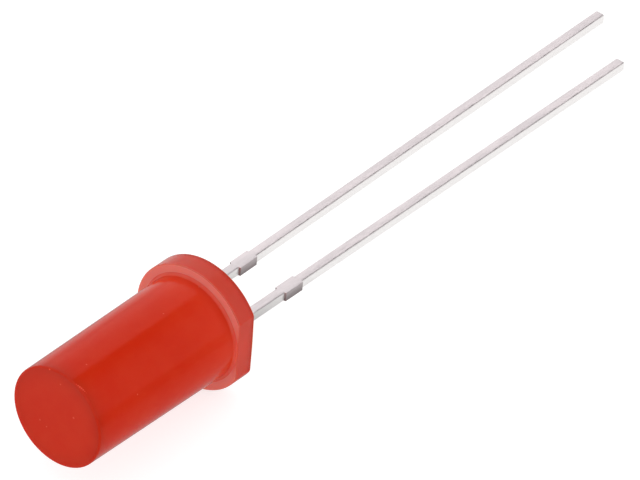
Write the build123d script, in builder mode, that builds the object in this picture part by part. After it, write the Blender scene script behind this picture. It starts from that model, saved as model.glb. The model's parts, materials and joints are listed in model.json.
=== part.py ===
from build123d import *
import os
from math import atan2, degrees, radians, sqrt, tan

# A flat-topped through-hole LED in millimetres. It lies at rest, on the rear edge of its flange and
# the tip of its longer lead. The origin is the middle of the flange's rear face, where the leads come
# out. +X points to the cathode, +Y along the floor to the lead tips, and +Z up.

os.makedirs("parts", exist_ok=True)

# Cast body: a barrel with a flat front and a little draft, on a flange with one flat
barrel_root_diameter = 4.95
barrel_length = 8.7
draft_angle = 0.48
front_edge_radius = 0.1
root_radius = 0.13
flange_ring_width = 0.52
flange_thickness = 1.0
flange_edge_radius = 0.04
flat_clearance = 0.14

# Leads: stamped from one strip, with the stubs of its tie bar left on them
lead_pitch = 2.54
lead_width = 0.45
sheet_thickness = 0.45
anode_length = 28.89
anode_splay = 0.32
cathode_length = 26.74
stub_start = 3.47
stub_length = 1.1
stub_reach = 0.08

# Chip, its film of adhesive and its wire
die_width = 0.3
die_height = 0.2
attach_thickness = 0.02
attach_margin = 0.03
wire_diameter = 0.03
ball_diameter = 0.09
ball_height = 0.04
loop_rise = 0.35
bend_share = 0.7

# Inner ends of the leads: the anvil with its coined cup, and the bonding post beside it
cup_rim_height = 4.4
cup_depth = 0.32
cup_angle = 35
cup_rim_width = 0.13
cup_floor_thickness = 0.23
die_clearance = 0.06
head_flare = 0.3
shoulder_drop = 0.9
heel_drop = 0.7
anvil_foot_height = 1.6
electrode_gap = 0.22
post_rise = 0.25
flag_face = 0.5
flag_slope = 0.7
landing_inset = 0.2

# How far a cut runs past what it cuts
overrun = 1.0

# Body, worked out from root to front
barrel_root_radius = barrel_root_diameter / 2
barrel_front_radius = barrel_root_radius - barrel_length * tan(radians(draft_angle))
flange_radius = barrel_root_radius + flange_ring_width
flat_distance = barrel_root_radius + flat_clearance
body_length = flange_thickness + barrel_length

# Leads, as distances from the axis
lead_inner = (lead_pitch - lead_width) / 2
lead_outer = (lead_pitch + lead_width) / 2
stub_width = lead_width + 2 * stub_reach

# Cup, worked out from the chip that it holds
die_corner_radius = die_width * sqrt(2) / 2
attach_radius = die_corner_radius + attach_margin
cup_floor_radius = die_corner_radius + die_clearance
cup_mouth_radius = cup_floor_radius + cup_depth * tan(radians(cup_angle))
head_radius = cup_mouth_radius + cup_rim_width
cup_floor_height = cup_rim_height - cup_depth
head_base = cup_floor_height - cup_floor_thickness
die_base = cup_floor_height + attach_thickness
die_top = die_base + die_height

# Bonding post, worked out from the cup beside it
flag_inner = head_radius + electrode_gap
landing = flag_inner + landing_inset
post_top = cup_rim_height + post_rise
loop_top = post_top + loop_rise
wire_bend = loop_rise * bend_share

# The rest pose tips the LED up at its front until the flange's edge and the anode's tip share the floor.
# flange_seat is the flange's rear face: its x points to the cathode and its z to the front.
# lead_plane is the middle of the lead strip: its x points to the cathode and its y to the front.
rest_tilt = degrees(atan2(flange_radius - sheet_thickness / 2, anode_length))
flange_seat = Plane.XZ.rotated((-rest_tilt, 0, 0))
lead_plane = flange_seat.rotated((90, 0, 0))
led_axis = Axis((0, 0, 0), flange_seat.z_dir)
upright = (Align.CENTER, Align.CENTER, Align.MIN)

# Cathode lead: the anvil widens from the lead to the axis and ends in the round head with the cup
with BuildPart() as cathode_lead:
    with BuildSketch(lead_plane):
        with BuildLine():
            Polyline(
                (lead_outer, -cathode_length),
                (lead_outer, head_base - shoulder_drop),
                (head_radius, head_base),
                (-head_radius, head_base),
                (-head_radius, head_base - heel_drop),
                (lead_inner, anvil_foot_height),
                (lead_inner, -cathode_length),
                close=True,
            )
        make_face()
        with Locations((lead_pitch / 2, -stub_start)):
            Rectangle(stub_width, stub_length, align=(Align.CENTER, Align.MAX))
    extrude(amount=sheet_thickness / 2, both=True)
    with Locations(flange_seat.offset(head_base - head_flare)):
        Cone(sheet_thickness / 2, head_radius, head_flare, align=upright)
    with Locations(flange_seat.offset(head_base)):
        Cylinder(head_radius, cup_rim_height - head_base, align=upright)
    with Locations(flange_seat.offset(cup_floor_height)):
        Cone(cup_floor_radius, cup_mouth_radius, cup_depth, align=upright, mode=Mode.SUBTRACT)

cathode_lead.part.label = "cathode_lead"
export_step(cathode_lead.part, "parts/cathode_lead.step")

# Anode lead: outside it splays a little from its stub to its tip, as handling leaves it, and inside
# its post rises past the cup and leans a flag towards it, to take the wire
with BuildPart() as anode_lead:
    with BuildSketch(lead_plane):
        with BuildLine():
            Polyline(
                (-lead_outer - anode_splay, -anode_length),
                (-lead_outer, -stub_start),
                (-lead_outer, post_top),
                (-flag_inner, post_top),
                (-flag_inner, post_top - flag_face),
                (-lead_inner, post_top - flag_face - flag_slope),
                (-lead_inner, -stub_start),
                (-lead_inner - anode_splay, -anode_length),
                close=True,
            )
        make_face()
        with Locations((-lead_pitch / 2, -stub_start)):
            Rectangle(stub_width, stub_length, align=(Align.CENTER, Align.MAX))
    extrude(amount=sheet_thickness / 2, both=True)

anode_lead.part.label = "anode_lead"
export_step(anode_lead.part, "parts/anode_lead.step")

# Film of conductive adhesive on the floor of the cup
with BuildPart() as die_attach:
    with Locations(flange_seat.offset(cup_floor_height)):
        Cylinder(attach_radius, attach_thickness, align=upright)

die_attach.part.label = "die_attach"
export_step(die_attach.part, "parts/die_attach.step")

# Light-emitting chip, a sawn square block
with BuildPart() as led_die:
    with Locations(flange_seat.offset(die_base)):
        Box(die_width, die_width, die_height, align=upright)

led_die.part.label = "led_die"
export_step(led_die.part, "parts/led_die.step")

# Gold wire: a ball on the chip, then a loop over the cup's rim down to the top of the post
with BuildPart() as bond_wire:
    with BuildLine(lead_plane) as loop:
        FilletPolyline(
            (0, die_top),
            (0, loop_top),
            (-landing, loop_top),
            (-landing, post_top),
            radius=wire_bend,
        )
    with BuildSketch(flange_seat.offset(die_top)):
        Circle(wire_diameter / 2)
    sweep(path=loop.line)
    with Locations(flange_seat.offset(die_top)):
        Cylinder(ball_diameter / 2, ball_height, align=upright)

bond_wire.part.label = "bond_wire"
export_step(bond_wire.part, "parts/bond_wire.step")

# Body: cast around all of these, so it keeps their exact form inside
with BuildPart() as epoxy_body:
    with BuildSketch(lead_plane):
        with BuildLine():
            FilletPolyline(
                (0, 0),
                (flange_radius, 0),
                (flange_radius, flange_thickness),
                (barrel_root_radius, flange_thickness),
                (barrel_front_radius, body_length),
                (0, body_length),
                radius=[flange_edge_radius, flange_edge_radius, root_radius, front_edge_radius],
            )
            Line((0, body_length), (0, 0))
        make_face()
    revolve(axis=led_axis)
    with BuildSketch(flange_seat):
        with Locations((flat_distance, 0)):
            Rectangle(flange_radius, 2 * flange_radius, align=(Align.MIN, Align.CENTER))
    extrude(amount=flange_thickness + overrun, mode=Mode.SUBTRACT)
    for embedded in (cathode_lead, anode_lead, die_attach, led_die, bond_wire):
        add(embedded.part, mode=Mode.SUBTRACT)

epoxy_body.part.label = "epoxy_body"
export_step(epoxy_body.part, "parts/epoxy_body.step")
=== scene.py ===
import json
from math import cos, pi, radians, sin, tan

import bpy
import numpy as np
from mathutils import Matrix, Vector


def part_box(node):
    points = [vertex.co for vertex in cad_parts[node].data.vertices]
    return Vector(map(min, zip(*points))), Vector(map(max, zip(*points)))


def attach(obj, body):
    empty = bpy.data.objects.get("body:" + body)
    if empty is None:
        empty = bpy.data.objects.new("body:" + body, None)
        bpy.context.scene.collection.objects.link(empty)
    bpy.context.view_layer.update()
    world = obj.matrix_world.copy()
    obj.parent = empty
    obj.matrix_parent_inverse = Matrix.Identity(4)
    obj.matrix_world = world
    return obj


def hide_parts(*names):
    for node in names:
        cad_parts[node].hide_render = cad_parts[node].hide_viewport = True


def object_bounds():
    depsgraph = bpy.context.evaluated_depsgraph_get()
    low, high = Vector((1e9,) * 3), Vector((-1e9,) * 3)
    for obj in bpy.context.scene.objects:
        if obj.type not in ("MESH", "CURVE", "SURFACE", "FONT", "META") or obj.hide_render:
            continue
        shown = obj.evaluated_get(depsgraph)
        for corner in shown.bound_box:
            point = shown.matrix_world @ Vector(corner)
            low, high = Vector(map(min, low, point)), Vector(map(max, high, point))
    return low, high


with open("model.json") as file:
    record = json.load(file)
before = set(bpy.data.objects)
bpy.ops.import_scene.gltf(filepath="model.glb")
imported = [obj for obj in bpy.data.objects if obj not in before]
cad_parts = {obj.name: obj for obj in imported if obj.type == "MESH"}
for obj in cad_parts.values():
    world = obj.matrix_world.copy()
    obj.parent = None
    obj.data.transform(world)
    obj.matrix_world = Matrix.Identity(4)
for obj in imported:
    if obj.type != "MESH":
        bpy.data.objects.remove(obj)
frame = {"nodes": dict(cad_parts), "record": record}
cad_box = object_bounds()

# Cast body. The red epoxy with its diffusing filler is poured into a polished cup around the leads, so
# barrel, flange and flat are one piece. The flange's front ring is frosted by the step of the mould, and
# the rear is the open face of the pour, which sinks a little and climbs the leads.

millimetre = 0.001
mounts = {mount["name"]: mount for mount in frame["record"]["mounts"]}
across = np.array([1.0, 0.0, 0.0])
forward = np.array(mounts["panel_shoulder"]["axis"])
upward = np.cross(forward, across)


def placed(x, y, z):
    """Sizes in mm from the middle of the flange's rear face, x to the cathode, y up and z to the front,
    as points of the frame in metres: each size times its own direction, added up."""
    x, y, z = np.broadcast_arrays(x, y, z)
    return millimetre * (x[..., None] * across + y[..., None] * upward + z[..., None] * forward)


def run(start, end, count):
    """Points on the straight line from start to end, closest together at both ends, where the cosine
    of an evenly stepped half turn changes least. The end itself is left to the next stretch."""
    share = (1 - np.cos(np.linspace(0, pi, count + 1)[:-1])) / 2
    return np.outer(1 - share, start) + np.outer(share, end)


def bend(centre, radius, first, last, count):
    """Points on an arc, from the first to the last angle in degrees and without its end: the centre plus
    the radius times the cosine and the sine of each angle."""
    angle = np.radians(np.linspace(first, last, count + 1)[:-1])
    return np.stack([centre[0] + radius * np.cos(angle), centre[1] + radius * np.sin(angle)], axis=1)


def tube(rings, first_end, last_end):
    """The skin over rows of points that each close into a ring: a square between neighbours of two rows,
    and a fan from each end's middle point to the ring beside it. Returns points, squares and fans."""
    rows, columns = rings.shape[:2]
    index = np.arange(rows * columns).reshape(rows, columns)
    turned = np.roll(index, -1, axis=1)
    squares = np.stack([index[:-1], turned[:-1], turned[1:], index[1:]], axis=-1).reshape(-1, 4)
    first, last = rows * columns, rows * columns + 1
    first_fan = np.stack([np.full(columns, first), turned[0], index[0]], axis=1)
    last_fan = np.stack([np.full(columns, last), index[-1], turned[-1]], axis=1)
    points = np.concatenate([rings.reshape(-1, 3), [first_end], [last_end]])
    return points, squares, np.concatenate([first_fan, last_fan])


def turned_skin(outline, angles, form=None):
    """The skin of a turned form: each point of the outline, as radius and height in mm, carried round the
    LED's axis through the angles. A form, where there is one, moves the radius and height at each angle."""
    radius = np.broadcast_to(outline[1:-1, :1], (len(outline) - 2, len(angles)))
    height = np.broadcast_to(outline[1:-1, 1:], radius.shape)
    if form is not None:
        radius, height = form(radius, height)
    rings = placed(radius * np.cos(angles), radius * np.sin(angles), height)
    ends = [placed(0.0, 0.0, row.mean()) for row in height[[0, -1]]]
    return tube(rings, *ends)


def piece(name, skins, node, material, marks, crease=None):
    """A mesh object made of closed skins, with its faces outwards: a skin whose signed volume, the sum of
    the triple products of its triangles' corners, comes out negative is turned over. It stands for a CAD
    node, and its marks are values at its points, which the material reads."""
    points, faces = [], []
    offset = 0
    for skin_points, squares, fans in skins:
        triangles = np.concatenate([squares[:, :3], squares[:, [0, 2, 3]], fans])
        first, second, third = skin_points[triangles].transpose(1, 0, 2)
        volume = np.sum(first * np.cross(second, third))
        step = 1 if volume > 0 else -1
        faces += (offset + squares[:, ::step]).tolist() + (offset + fans[:, ::step]).tolist()
        points.append(skin_points)
        offset += len(skin_points)
    mesh = bpy.data.meshes.new(name)
    mesh.from_pydata(np.concatenate(points).tolist(), [], faces)
    mesh.shade_smooth()
    if crease is not None:
        mesh.set_sharp_from_angle(angle=radians(crease))
    for mark, values in marks.items():
        mesh.attributes.new(mark, "FLOAT", "POINT").data.foreach_set("value", values.astype(np.float32))
    mesh.materials.append(material)
    made = bpy.data.objects.new(name, mesh)
    bpy.context.scene.collection.objects.link(made)
    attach(made, "root")
    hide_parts(node)


barrel_root_radius = 2.475
draft_angle = 0.48
body_length = 9.7
front_edge_radius = 0.1
root_radius = 0.13
flange_radius = mounts["flange_rim"]["dims"]["r_mm"]
flange_thickness = float(np.linalg.norm(mounts["panel_shoulder"]["pos_m"])) / millimetre
flange_edge_radius = 0.04
flat_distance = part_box("epoxy_body")[1].x / millimetre

barrel_front_radius = barrel_root_radius - (body_length - flange_thickness) * tan(radians(draft_angle))
front_rim = barrel_front_radius - front_edge_radius
edge_foot = body_length - front_edge_radius
inner_rim = flange_radius - flange_edge_radius
rim_top = flange_thickness - flange_edge_radius
root_foot = barrel_root_radius + root_radius
root_top = flange_thickness + root_radius
stretches = {
    "rear": run((0.0, 0.0), (inner_rim, 0.0), count=56),
    "rear_edge": bend((inner_rim, flange_edge_radius), flange_edge_radius, -90, 0, count=6),
    "rim": run((flange_radius, flange_edge_radius), (flange_radius, rim_top), count=12),
    "ring_edge": bend((inner_rim, rim_top), flange_edge_radius, 0, 90, count=6),
    "ring": run((inner_rim, flange_thickness), (root_foot, flange_thickness), count=12),
    "root": bend((root_foot, root_top), root_radius, 270, 180, count=6),
    "barrel": run((barrel_root_radius, root_top), (barrel_front_radius, edge_foot), count=40),
    "front_edge": bend((front_rim, edge_foot), front_edge_radius, 0, 90, count=10),
    "front": run((front_rim, body_length), (0.0, body_length), count=24),
    "middle": np.array([[0.0, body_length]]),
}
body_outline = np.concatenate(list(stretches.values()))
on_stretch = np.repeat(list(stretches), [len(points) for points in stretches.values()])[1:-1]
body_columns = 448
body_angles = np.linspace(0, 2 * pi, body_columns, endpoint=False)

# distance of the flange's outline from the axis: the smooth lesser of its radius and the flat's line
flat_corner_sharpness = 70.0
least_cosine = 0.05
flat_line = flat_distance / np.maximum(np.cos(body_angles), least_cosine)
both_lines = np.logaddexp(-flat_corner_sharpness * flange_radius, -flat_corner_sharpness * flat_line)
flange_reach = -both_lines / flat_corner_sharpness

lead_pitch = mounts["leads"]["dims"]["spacing_x_mm"]
lead_width = 0.45
pour_sink = 0.05
climb_height = 0.11
climb_length = 0.1


def fading(away, length):
    """One where away is nothing or less, then falling as the exponential of minus away over the length."""
    return np.exp(-np.maximum(away, 0) / length)


def flange_form(radius, height):
    """Past the barrel's root the radius is stretched so that the flange ends at its outline. On the rear
    face the height sinks towards the axis with one minus the square of the radius's share, and climbs
    each lead, fading with the distance from it."""
    share = np.clip((radius - root_foot) / (flange_radius - root_foot), 0, 1)
    formed = np.where(height < root_top, radius + share * (flange_reach - flange_radius), radius)
    x, y = formed * np.cos(body_angles), formed * np.sin(body_angles)
    sunk = pour_sink * (1 - np.clip(formed / inner_rim, 0, 1) ** 2)
    climb = 0.0
    for side in (-1, 1):
        away_x = np.abs(x - side * lead_pitch / 2) - lead_width / 2
        away_y = np.abs(y) - lead_width / 2
        away = np.hypot(np.maximum(away_x, 0), np.maximum(away_y, 0))
        climb = climb + climb_height * fading(away, climb_length)
    rear = on_stretch[:, None] == "rear"
    return formed, height + np.where(rear, sunk - climb * (formed < inner_rim), 0.0)


def set_inputs(tree, node, **values):
    """A node's inputs set to plain values or linked from other sockets. An input is named in words, with
    underscores for spaces, or by its number, as in_0."""
    for socket, value in values.items():
        key = int(socket[3:]) if socket.startswith("in_") else socket.replace("_", " ")
        if isinstance(value, bpy.types.NodeSocket):
            tree.links.new(value, node.inputs[key])
        else:
            node.inputs[key].default_value = value


def add_node(tree, kind, settings=None, **values):
    """A new node of a tree, with its settings and its inputs."""
    node = tree.nodes.new(kind)
    for setting, value in (settings or {}).items():
        setattr(node, setting, value)
    set_inputs(tree, node, **values)
    return node


def maths(tree, operation, first, second=0.5, third=0.5):
    """One step of arithmetic, and the socket that holds its result."""
    settings = {"operation": operation}
    return add_node(tree, "ShaderNodeMath", settings, in_0=first, in_1=second, in_2=third).outputs[0]


def scaled(tree, value, low, high, to_low=0.0, to_high=1.0):
    """A value between low and high moved smoothly to between the other two, and held there outside."""
    settings = {"interpolation_type": "SMOOTHSTEP"}
    limits = {"in_1": low, "in_2": high, "in_3": to_low, "in_4": to_high}
    return add_node(tree, "ShaderNodeMapRange", settings, in_0=value, **limits).outputs[0]


def distance(tree, first, second):
    """How far apart two points are, and the socket that holds it."""
    settings = {"operation": "DISTANCE"}
    return add_node(tree, "ShaderNodeVectorMath", settings, in_0=first, in_1=second).outputs["Value"]


def layered(tree, colour, layers):
    """A colour with others laid over it in turn, each as far as its own mask says, and the socket that
    holds the result."""
    for mask, over in layers:
        settings = {"data_type": "RGBA"}
        colour = add_node(tree, "ShaderNodeMix", settings, in_0=mask, in_6=colour, in_7=over).outputs[2]
    return colour


def roughened(tree, roughness, layers):
    """A roughness plus each mask times its own amount, and the socket that holds the sum."""
    for mask, amount in layers:
        roughness = maths(tree, "MULTIPLY_ADD", mask, amount, roughness)
    return roughness


grain_depth = 0.02


def bumped(tree, grain, strength):
    """The normal of a surface that a grain makes uneven, and the socket that holds it."""
    depth = grain_depth * millimetre
    node = add_node(tree, "ShaderNodeBump", Strength=strength, Distance=depth, Height=grain)
    return node.outputs["Normal"]


def mark_of(tree, name):
    """The socket that reads one of the marks at a piece's points."""
    return add_node(tree, "ShaderNodeAttribute", {"attribute_name": name}).outputs["Fac"]


def node_group(name, inputs, outputs):
    """An empty shader node group with the named input and output sockets, and its two end nodes."""
    group = bpy.data.node_groups.new(name, "ShaderNodeTree")
    for direction, sockets in (("INPUT", inputs), ("OUTPUT", outputs)):
        for socket, kind in sockets.items():
            group.interface.new_socket(socket, in_out=direction, socket_type=kind)
    return group, group.nodes.new("NodeGroupInput"), group.nodes.new("NodeGroupOutput")


def grouped(tree, group, **values):
    """A node group placed in a tree with its inputs, and its output sockets."""
    return add_node(tree, "ShaderNodeGroup", {"node_tree": group}, **values).outputs


def new_material(name):
    """A material, its node tree, its Principled shader and the socket of its Object coordinates."""
    material = bpy.data.materials.new(name)
    material.use_nodes = True
    tree = material.node_tree
    coords = add_node(tree, "ShaderNodeTexCoord").outputs["Object"]
    return material, tree, tree.nodes["Principled BSDF"], coords


# mottle: soft clouds and a grain, each a mask from 0 to 1 with a scale of its own
mottle, group_in, group_out = node_group(
    "mottle",
    {"Vector": "NodeSocketVector", "Cloud Scale": "NodeSocketFloat", "Grain Scale": "NodeSocketFloat"},
    {"Cloud": "NodeSocketFloat", "Grain": "NodeSocketFloat"},
)
for output, detail in (("Cloud", 3.0), ("Grain", 4.0)):
    noise = add_node(
        mottle, "ShaderNodeTexNoise", Vector=group_in.outputs["Vector"],
        Scale=group_in.outputs[f"{output} Scale"], Detail=detail, Roughness=0.6,
    )
    mask = scaled(mottle, noise.outputs["Fac"], low=0.3, high=0.7)
    mottle.links.new(mask, group_out.inputs[output])

# nicks: few small round marks, the near middles of cells whose own random value passes the rarity
nicks, group_in, group_out = node_group(
    "nicks",
    {"Vector": "NodeSocketVector", "Scale": "NodeSocketFloat", "Rarity": "NodeSocketFloat"},
    {"Mask": "NodeSocketFloat"},
)
cells = add_node(
    nicks, "ShaderNodeTexVoronoi", Vector=group_in.outputs["Vector"], Scale=group_in.outputs["Scale"],
)
chosen = maths(nicks, "GREATER_THAN", cells.outputs["Color"], group_in.outputs["Rarity"])
near_middle = scaled(nicks, cells.outputs["Distance"], low=0.1, high=0.2, to_low=1.0, to_high=0.0)
nicks.links.new(maths(nicks, "MULTIPLY", near_middle, chosen), group_out.inputs["Mask"])

# handling has left a short scratch round the barrel beside its front edge, a row of pale spots that widens
# and tapers with a sine, and a few knocks, each a pale spot at its place across, up and forward in mm
scratch_steps = 7
scratch_half_width = 0.07
scratch_turn = np.radians(np.linspace(68, 55, scratch_steps))
scratch_height = body_length - np.linspace(0.07, 0.17, scratch_steps)
scratch_radii = scratch_half_width * np.sin(pi * np.linspace(0.15, 0.9, scratch_steps))
scratch = placed(
    barrel_front_radius * np.cos(scratch_turn),
    barrel_front_radius * np.sin(scratch_turn),
    scratch_height,
)
knock_radius = 0.055
knocks = np.array([
    (0.1, 1.82, body_length),
    (-0.51, -0.76, body_length),
    (-0.53, 2.27, body_length),
    (0.44, 2.37, 8.46),
    (2.21, 1.0, 7.12),
    (0.5, 2.4, 3.55),
])
spots = np.concatenate([scratch, placed(*knocks.T)])
spot_radii = millimetre * np.append(scratch_radii, np.full(len(knocks), knock_radius))
spot_core = 0.2

deep_red = (0.575, 0.022, 0.0048, 1.0)
cloudy_red = (0.592, 0.028, 0.0068, 1.0)
# painted light: a brighter red for the shaded corner between ring and barrel
root_painted_light_red = (0.74, 0.055, 0.02, 1.0)
# the frosted finish's paler red, partly its matt surface and partly painted sheen and painted light
frost_and_sheen_red = (0.765, 0.232, 0.19, 1.0)
# painted shade: a dark red laid on the body's edges
edge_shade_red = (0.16, 0.02, 0.01, 1.0)
nick_red = (0.68, 0.085, 0.048, 1.0)
polished_roughness = 0.05
grain_roughness = 0.04
frost_roughness = 0.4
nick_roughness = 0.2

red_epoxy, tree, shader, coords = new_material("red_epoxy")
clouds = grouped(tree, mottle, Vector=coords, Cloud_Scale=800.0, Grain_Scale=14000.0)
slanted = add_node(
    tree, "ShaderNodeMapping", Vector=coords, Rotation=(0.5, 0.6, 0.4), Scale=(1.0, 0.45, 1.0),
).outputs["Vector"]
marked = grouped(tree, nicks, Vector=slanted, Scale=2500.0, Rarity=0.92)["Mask"]
for spot, radius in zip(spots, spot_radii):
    away = distance(tree, coords, spot)
    pale = scaled(tree, away, low=spot_core * radius, high=radius, to_low=1.0, to_high=0.0)
    marked = maths(tree, "MAXIMUM", marked, pale)
# the root mark lays painted light on the shaded corner between ring and barrel
root = mark_of(tree, "root")
# the frost mark is the matt finish, and its paler red is partly painted sheen and painted light
frost_and_sheen_mask = mark_of(tree, "frost_and_sheen")
# the edge mark lays painted shade on the body's edges
edge_shade = mark_of(tree, "edge_shade")
colour = layered(tree, deep_red, [
    (clouds["Cloud"], cloudy_red),
    (root, root_painted_light_red),
    (frost_and_sheen_mask, frost_and_sheen_red),
    (edge_shade, edge_shade_red),
    (marked, nick_red),
])
rough = roughened(tree, polished_roughness, [
    (clouds["Grain"], grain_roughness),
    (frost_and_sheen_mask, frost_roughness),
    (marked, nick_roughness),
])
uneven = bumped(tree, clouds["Grain"], strength=0.05)
set_inputs(tree, shader, Base_Color=colour, Roughness=rough, Normal=uneven)
set_inputs(tree, shader, IOR=1.54, Specular_IOR_Level=0.1)
set_inputs(
    tree, shader, Subsurface_Weight=0.8, Subsurface_Radius=(1.0, 0.3, 0.15), Subsurface_Scale=millimetre,
)

# frost and sheen: how matt each stretch is, less so where the flat cuts the ring; its paler red is partly
# the matt finish and partly painted sheen, and on the ring also painted light against the shade beside the
# barrel
frost_and_sheen_shares = {
    "rear": 0.4,
    "rear_edge": 0.2,
    "rim": 0.22,
    "ring_edge": 0.5,
    "ring": 1.0,
    "front": 0.025,
}
root_frost_and_sheen_share = 0.35
flat_frost_and_sheen_share = 0.12
radii, heights = body_outline[1:-1].T
round_share = np.sqrt(np.clip((flange_reach - root_foot) / (flange_radius - root_foot), 0, 1))
ring_share = flat_frost_and_sheen_share + (1 - flat_frost_and_sheen_share) * round_share
on_ring = np.isin(on_stretch, ["ring", "ring_edge"])
root_frost_and_sheen = root_frost_and_sheen_share * (root_top - heights) / root_radius
frost_and_sheen = np.array([frost_and_sheen_shares.get(stretch, 0.0) for stretch in on_stretch])
frost_and_sheen = np.where(on_stretch == "root", root_frost_and_sheen, frost_and_sheen)
frost_and_sheen = frost_and_sheen[:, None] * np.where(on_ring[:, None], ring_share, 1.0)

# root: painted light, a brighter red in the shaded corner between ring and barrel, fading along the barrel
painted_root_light_share = 0.6
painted_root_light_length = 1.6
painted_root_light = painted_root_light_share * fading(heights - root_top, painted_root_light_length)
painted_root_light = np.where(on_stretch == "root", 1.0, np.where(on_stretch == "barrel", painted_root_light, 0.0))

# edge shade: painted shade, a darker red laid on the body's edges and fading away from them
front_shade_share = 0.34
front_shade_length = 0.3
ring_shade_share = 0.12
rear_shade_share = 0.9
flange_shade_length = 0.14
round_shade_shares = {"rim": 0.15, "ring_edge": 0.3}
on_front = np.isin(on_stretch, ["barrel", "front_edge", "front"])
on_rim = np.isin(on_stretch, ["rear_edge", "rim"])
from_edge = np.where(on_stretch == "front", front_rim - radii, edge_foot - heights)
front_shade = np.where(on_front, front_shade_share * fading(from_edge, front_shade_length), 0.0)
ring_shade = ring_shade_share * fading(inner_rim - radii, flange_shade_length)
round_shade = np.array([round_shade_shares.get(stretch, 0.0) for stretch in on_stretch])
round_shade = np.where(on_stretch == "ring", ring_shade, round_shade)
rear_shade = rear_shade_share * fading(heights - flange_edge_radius, flange_shade_length)
rear_shade = np.where(on_rim, rear_shade, 0.0)
painted_edge_shade = np.maximum(front_shade[:, None] + np.outer(round_shade, round_share), rear_shade[:, None])

body_marks = {
    # frost: the matt finish, with painted sheen and painted light in its paler red
    "frost_and_sheen": np.append(frost_and_sheen, [frost_and_sheen[0, 0], frost_and_sheen[-1, 0]]),
    # root: painted light in the shaded corner between ring and barrel
    "root": np.append(np.repeat(painted_root_light, body_columns), [0.0, 0.0]),
    # painted shade on the body's edges
    "edge_shade": np.append(painted_edge_shade, [0.0, 0.0]),
}
body_skin = turned_skin(body_outline, body_angles, flange_form)
piece("cast_body", [body_skin], "epoxy_body", red_epoxy, body_marks)

# Leads. Both are stamped from one strip of mild steel, tinned so that their edges are round, and trimmed to
# two lengths with dull tips; lighter tin on their sides is a painted highlight. The sheared tie bar leaves
# a stub on each whose faces show dark bare steel, with painted shade on their lower halves. Inside, the
# cathode widens to the coined cup and the anode ends in its bonding post.

sheet_thickness = 0.45
tinned_edge_radius = 0.06
sheared_edge_radius = 0.02
corner_limit = 0.95
corner_steps = 6
crease_angle = 38
lead_inner = (lead_pitch - lead_width) / 2
lead_outer = (lead_pitch + lead_width) / 2
anode_length = 28.89
anode_splay = 0.32
cathode_length = 26.74
even_steps = 240

tip_radius = 0.09
tip_draw = 0.9
tip_dullness = 0.4
tip_steps = 7

stub_start = 3.47
stub_end = 4.57
stub_reach = 0.08
stub_slope = 0.03
stub_margin = 0.006
stub_places = np.array([stub_start - stub_slope, stub_start, stub_end, stub_end + stub_slope])
stub_middle = (stub_start + stub_end) / 2
cut_half = (stub_end - stub_start) / 2 + stub_slope + stub_margin / 2
# the stub's cut faces show bare steel, laid fully on their lower halves as painted shade
sheared_upper = 0.56
sheared_lower_shaded = 1.0
side_cosine = 0.9


def stations(length, inner_end, corners):
    """Places along a lead in mm, from its tip to its inner end: even steps, closer ones at the rounded tip,
    both slopes of the stub and a place just outside each, and the corners of the outline."""
    tip = -length + tip_radius * (1 - np.cos(np.linspace(0, pi / 2, tip_steps)))
    beside = -stub_places[[0, -1]] + np.array([stub_margin, -stub_margin])
    even = np.linspace(-length + 2 * tip_radius, inner_end, even_steps)
    return np.unique(np.concatenate([tip, -stub_places, beside, even, corners]))


def strip_skin(length, z, low, high):
    """The skin of a strip whose section at each place z is a rectangle from low to high across and as
    thick as the sheet, with round corners: a quarter circle about each corner's middle. The last stretch
    before the tip draws in as a quarter circle too, and the stub stands out on both sides. Its marks give
    bare steel to the stub's sides, with painted shade on their lower halves, and to the tip, and a painted
    highlight to its other sides."""
    on_stub = np.interp(-z, stub_places, [0, 1, 1, 0])
    to_tip = np.clip((tip_radius - (z + length)) / tip_radius, 0, 1)
    drawn_in = tip_draw * tip_radius * (1 - np.sqrt(1 - to_tip**2))
    middle = (low + high) / 2
    half_width = (high - low) / 2 + stub_reach * on_stub - drawn_in
    half_thick = sheet_thickness / 2 - drawn_in
    corner = tinned_edge_radius + (sheared_edge_radius - tinned_edge_radius) * on_stub
    corner = np.minimum(corner, corner_limit * np.minimum(half_width, half_thick))
    angle = np.concatenate([np.linspace(k, k + 1, corner_steps) for k in range(4)]) * pi / 2
    side_x = np.repeat([1, -1, -1, 1], corner_steps)
    side_y = np.repeat([1, 1, -1, -1], corner_steps)
    x = middle[:, None] + side_x * (half_width - corner)[:, None] + np.outer(corner, np.cos(angle))
    y = side_y * (half_thick - corner)[:, None] + np.outer(corner, np.sin(angle))
    rings = placed(x, y, np.broadcast_to(z[:, None], x.shape))
    skin = tube(rings, placed(middle[0], 0.0, z[0]), placed(middle[-1], 0.0, z[-1]))
    on_side = np.broadcast_to(np.abs(np.cos(angle)) > side_cosine, x.shape)
    cut_off = (np.abs(z + stub_middle) < cut_half)[:, None]
    # painted shade: the lower cut faces get the full dark steel
    torn_and_shaded = np.where(side_y > 0, sheared_upper, sheared_lower_shaded)
    sheared_and_shaded = np.where(cut_off, on_side * torn_and_shaded, tip_dullness * to_tip[:, None])
    # painted highlight on the sides away from the stub
    side_highlight = np.where(cut_off, 0.0, on_side)
    return skin, {"sheared_and_shaded": np.append(sheared_and_shaded, [0.0, 0.0]), "side_highlight": np.append(side_highlight, [0.0, 0.0])}


tin_light = (0.875, 0.795, 0.81, 1.0)
tin_warm = (0.775, 0.71, 0.725, 1.0)
# painted highlight: lighter tin for the strips' sides
tin_side_highlight = (0.92, 0.895, 0.885, 1.0)
# dark bare steel of the cuts, full on their lower halves as painted shade
steel_broken = (0.33, 0.29, 0.29, 1.0)
tin_roughness = 0.3
tin_grain_roughness = 0.12
sheared_roughness = 0.25
tin_nick_roughness = 0.15

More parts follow.
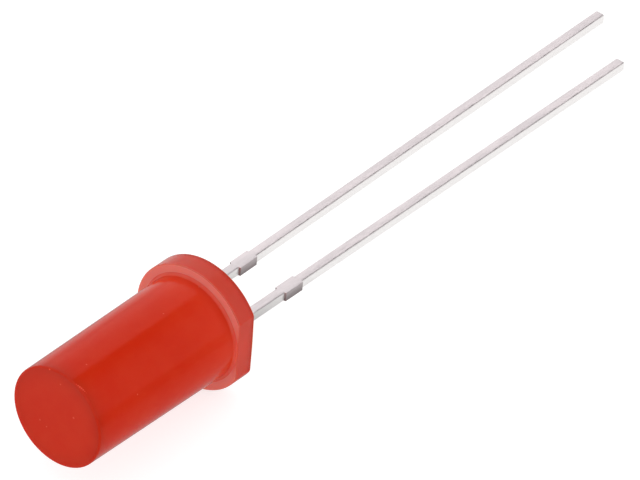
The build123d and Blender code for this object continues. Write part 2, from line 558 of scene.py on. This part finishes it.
tinned_steel, tree, shader, coords = new_material("tinned_steel")
drawn = add_node(tree, "ShaderNodeMapping", Vector=coords, Scale=(1.0, 0.12, 1.0)).outputs["Vector"]
clouds = grouped(tree, mottle, Vector=drawn, Cloud_Scale=2600.0, Grain_Scale=16000.0)
marked = grouped(tree, nicks, Vector=drawn, Scale=3000.0, Rarity=0.6)["Mask"]
# the cut mark lays dark bare steel, and painted shade on the stub's lower halves
sheared_and_shaded = mark_of(tree, "sheared_and_shaded")
# the side mark lays a painted highlight on the strips' sides
side_highlight = mark_of(tree, "side_highlight")
colour = layered(tree, tin_light, [
    (clouds["Cloud"], tin_warm),
    (side_highlight, tin_side_highlight),
    (sheared_and_shaded, steel_broken),
])
rough = roughened(tree, tin_roughness, [
    (clouds["Grain"], tin_grain_roughness),
    (sheared_and_shaded, sheared_roughness),
    (marked, tin_nick_roughness),
])
uneven = bumped(tree, clouds["Grain"], strength=0.3)
set_inputs(tree, shader, Base_Color=colour, Roughness=rough, Normal=uneven, Metallic=1.0)

anvil_foot = 1.6
anvil_shoulder = 2.95
anvil_heel = 3.15
head_radius = 0.626
head_base = 3.85
head_flare = 0.3
cup_rim_height = 4.4
cup_mouth_radius = 0.496
cup_floor_height = 4.08
cup_floor_radius = 0.272
cup_columns = 64

z = stations(cathode_length, head_base, [anvil_foot, anvil_shoulder, anvil_heel])
low = np.interp(z, [anvil_foot, anvil_heel], [lead_inner, -head_radius])
high = np.interp(z, [anvil_shoulder, head_base], [lead_outer, head_radius])
cathode_skin, cathode_marks = strip_skin(cathode_length, z, low, high)
cup_outline = np.array([
    [0.0, head_base - head_flare],
    [sheet_thickness / 2, head_base - head_flare],
    [head_radius, head_base],
    [head_radius, cup_rim_height],
    [cup_mouth_radius, cup_rim_height],
    [cup_floor_radius, cup_floor_height],
    [0.0, cup_floor_height],
])
cup_skin = turned_skin(cup_outline, np.linspace(0, 2 * pi, cup_columns, endpoint=False))
unmarked = np.zeros(len(cup_skin[0]))
cathode_marks = {mark: np.append(values, unmarked) for mark, values in cathode_marks.items()}
piece(
    "tinned_cathode", [cathode_skin, cup_skin], "cathode_lead", tinned_steel,
    cathode_marks, crease_angle,
)

flag_foot = 3.45
flag_heel = 4.15
flag_inner = 0.846
post_top = 4.65

z = stations(anode_length, post_top, [flag_foot, flag_heel])
splay = anode_splay * np.clip((-z - stub_start) / (anode_length - stub_start), 0, 1)
low = -lead_outer - splay
high = np.interp(z, [flag_foot, flag_heel], [-lead_inner, -flag_inner]) - splay
anode_skin, anode_marks = strip_skin(anode_length, z, low, high)
piece(
    "tinned_anode", [anode_skin], "anode_lead", tinned_steel,
    anode_marks, crease_angle,
)

# Chip, adhesive and wire. A sawn block of dull semiconductor sits in the cup on a film of silver-filled
# adhesive, and a drawn gold wire is bonded from its top to the anode's post. They are sealed in the epoxy
# and keep their solids.

inner_grain_ratio = 6
inner_grain_roughness = 0.15


def inner_finish(node, dark, light, cloud_scale, roughness, metallic):
    """A finish for a sealed node: two colours by clouds, and a roughness that follows the grain."""
    material, tree, shader, coords = new_material(node)
    grain_scale = inner_grain_ratio * cloud_scale
    clouds = grouped(tree, mottle, Vector=coords, Cloud_Scale=cloud_scale, Grain_Scale=grain_scale)
    colour = layered(tree, dark, [(clouds["Cloud"], light)])
    rough = roughened(tree, roughness, [(clouds["Grain"], inner_grain_roughness)])
    set_inputs(tree, shader, Base_Color=colour, Roughness=rough, Metallic=metallic)
    mesh = frame["nodes"][node].data
    mesh.materials.clear()
    mesh.materials.append(material)


inner_finish(
    "led_die", dark=(0.08, 0.065, 0.055, 1.0), light=(0.13, 0.11, 0.09, 1.0),
    cloud_scale=20000.0, roughness=0.3, metallic=0.0,
)
inner_finish(
    "die_attach", dark=(0.52, 0.52, 0.51, 1.0), light=(0.66, 0.66, 0.65, 1.0),
    cloud_scale=30000.0, roughness=0.5, metallic=0.6,
)
inner_finish(
    "bond_wire", dark=(0.9, 0.62, 0.22, 1.0), light=(0.98, 0.74, 0.34, 1.0),
    cloud_scale=40000.0, roughness=0.15, metallic=1.0,
)

# Table, tent and camera. The LED lies on a pale table inside a white light tent. What shines in the LED is
# the tent's bright left wall and the dark opening at its back, and the camera looks down on its front.

camera_azimuth = radians(39.937)
camera_elevation = radians(41.256)
camera_distance = 0.51019
camera_aim = Vector((0.0023652, 0.004758, 0.002486))
camera_lens = 675.0
towards_camera = Vector((
    sin(camera_azimuth) * cos(camera_elevation),
    -cos(camera_azimuth) * cos(camera_elevation),
    sin(camera_elevation),
))
camera = bpy.data.objects.new("camera", bpy.data.cameras.new("camera"))
camera.data.lens = camera_lens
camera.location = camera_aim + camera_distance * towards_camera
camera.rotation_euler = towards_camera.to_track_quat("Z", "Y").to_euler()
bpy.context.scene.collection.objects.link(camera)
bpy.context.scene.camera = camera

table_half = 1.5
table_height = cad_box[0].z
table_corners = [
    (-table_half, -table_half, table_height),
    (table_half, -table_half, table_height),
    (table_half, table_half, table_height),
    (-table_half, table_half, table_height),
]
table_mesh = bpy.data.meshes.new("table")
table_mesh.from_pydata(table_corners, [], [(0, 1, 2, 3)])
table = bpy.data.objects.new("table", table_mesh)
bpy.context.scene.collection.objects.link(table)


def blended(tree, share, first, second):
    """Two values mixed by a share, and the socket that holds the result."""
    return add_node(tree, "ShaderNodeMix", in_0=share, in_2=first, in_3=second).outputs[0]


white = (1.0, 1.0, 1.0, 1.0)
table_grey = (0.44, 0.44, 0.44, 1.0)
table_pale = (0.46, 0.46, 0.46, 1.0)
table_glow = 0.48
camera_glow = 0.25

table_white, tree, shader, coords = new_material("table_white")
clouds = grouped(tree, mottle, Vector=coords, Cloud_Scale=60.0, Grain_Scale=900.0)
colour = layered(tree, table_grey, [(clouds["Cloud"], table_pale)])
set_inputs(tree, shader, Base_Color=colour, Roughness=0.9, Specular_IOR_Level=0.0)
rays = add_node(tree, "ShaderNodeLightPath").outputs
seen = maths(tree, "MULTIPLY_ADD", rays["Is Camera Ray"], camera_glow, table_glow)
glow = add_node(tree, "ShaderNodeEmission", Color=white, Strength=seen).outputs["Emission"]
lit = add_node(tree, "ShaderNodeAddShader", in_0=shader.outputs["BSDF"], in_1=glow).outputs["Shader"]

# in reflections the table has a level of its own: grey close to the body, further off paler on the left and
# darker on the right, and white under the leads
body_middle = (0.0, -0.004, 0.0)
leads_middle = 0.002
near_level = 0.45
left_level = 0.8
right_level = 0.2
sides = add_node(tree, "ShaderNodeSeparateXYZ", Vector=coords).outputs
far_level = scaled(tree, sides["X"], low=-0.006, high=0.004, to_low=left_level, to_high=right_level)
away = distance(tree, coords, body_middle)
level = scaled(tree, away, low=0.009, high=0.018, to_low=near_level, to_high=far_level)
from_leads = maths(tree, "ABSOLUTE", maths(tree, "SUBTRACT", sides["X"], leads_middle))
beside_leads = scaled(tree, from_leads, low=0.006, high=0.011, to_low=1.0, to_high=0.0)
behind_body = scaled(tree, sides["Y"], low=0.002, high=0.008)
under_leads = maths(tree, "MULTIPLY", beside_leads, behind_body)
level = blended(tree, under_leads, level, 1.0)
mirrored = add_node(tree, "ShaderNodeEmission", Color=white, Strength=level).outputs["Emission"]
surface = add_node(tree, "ShaderNodeMixShader", in_0=rays["Is Glossy Ray"], in_1=lit, in_2=mirrored)
set_inputs(tree, tree.nodes["Material Output"], Surface=surface.outputs["Shader"])
table_mesh.materials.append(table_white)

world = bpy.data.worlds.new("light_tent")
bpy.context.scene.world = world
world.use_nodes = True
tree = world.node_tree
direction = add_node(tree, "ShaderNodeTexCoord").outputs["Generated"]
sides = add_node(tree, "ShaderNodeSeparateXYZ", Vector=direction).outputs
right_of_wall = scaled(tree, sides["X"], low=-0.125, high=-0.105)
at_back = scaled(tree, sides["Y"], low=0.2, high=0.5)
opening = maths(tree, "MULTIPLY", right_of_wall, at_back)
wall = scaled(tree, sides["Z"], low=-0.05, high=0.3, to_low=0.55, to_high=1.0)
unlit = scaled(tree, sides["X"], low=0.0, high=0.6, to_low=0.06, to_high=0.6)
rays = add_node(tree, "ShaderNodeLightPath").outputs
level = blended(tree, rays["Is Glossy Ray"], 1.0, blended(tree, opening, wall, unlit))
set_inputs(tree, tree.nodes["Background"], Color=white, Strength=level)

bpy.context.scene.view_settings.view_transform = "Standard"
